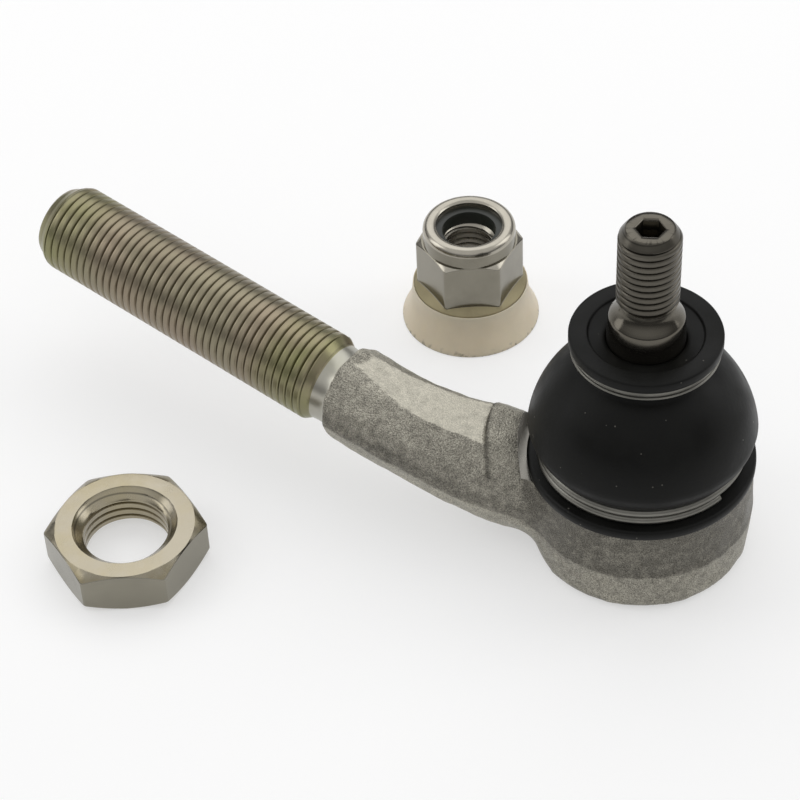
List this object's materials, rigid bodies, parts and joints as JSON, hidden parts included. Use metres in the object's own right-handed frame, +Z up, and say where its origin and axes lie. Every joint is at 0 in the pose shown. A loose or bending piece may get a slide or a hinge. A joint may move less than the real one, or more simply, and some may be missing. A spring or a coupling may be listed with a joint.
{
  "type": "tie rod end",
  "caption": "Steering tie rod end: forged ball cup with an offset threaded shank, rubber boot and threaded ball stud, with loose jam nut and self-locking nut.",
  "frame": {"origin": "centre of the ball cup's flat bottom, on the stud's axis", "axes": "+Z up along the stud, away from the cup; -X the way the shank points, seen from above"},
  "size_m": [0.1339, 0.1091, 0.0671],
  "materials": {
    "forging": "shot-blasted forged steel; the shank is rolled thread with yellow-green zinc passivation",
    "seat": "moulded acetal race",
    "spring": "spring steel",
    "plate": "pressed steel, zinc passivated",
    "stud": "turned steel, dark, rolled thread",
    "boot_rubber": "satin black rubber",
    "ring_steel": "bright spring wire",
    "nut_zinc": "zinc plated, yellow passivated",
    "insert": "dark polyamide",
    "cone": "cream translucent polyethylene"
  },
  "bodies": {
    "housing": {"forged_housing": "forging", "upper_seat": "seat", "lower_seat": "seat", "preload_spring": "spring", "closing_plate": "plate", "lower_boot_ring": "ring_steel"},
    "boot": {"dust_boot": "boot_rubber"},
    "boot_top": {"upper_boot_ring": "ring_steel"},
    "stud": {"ball_stud": "stud"},
    "jam_nut_loose": {"jam_nut": "nut_zinc"},
    "lock_nut_loose": {"lock_nut": "nut_zinc", "lock_nut_insert": "insert", "nut_dust_cone": "cone"}
  },
  "joints": [
    {"name": "boot_swivel", "type": "hinge", "parent": "housing", "child": "boot", "pos_m": [0, 0, 0.012], "axis": [0, 0, 1], "continuous": true},
    {"name": "stud_tilt", "type": "hinge", "parent": "boot", "child": "boot_top", "pos_m": [0, 0, 0.012], "axis": [0, 1, 0], "range_deg": [-22, 22], "deforming": ["dust_boot"]},
    {"name": "stud_spin", "type": "hinge", "parent": "boot_top", "child": "stud", "pos_m": [0, 0, 0.012], "axis": [0, 0, 1], "continuous": true},
    {"name": "jam_nut_lift", "type": "slide", "parent": "housing", "child": "jam_nut_loose", "axis": [0, 0, 1], "range_m": [0, 0.06]},
    {"name": "lock_nut_lift", "type": "slide", "parent": "housing", "child": "lock_nut_loose", "axis": [0, 0, 1], "range_m": [0, 0.06]}
  ]
}
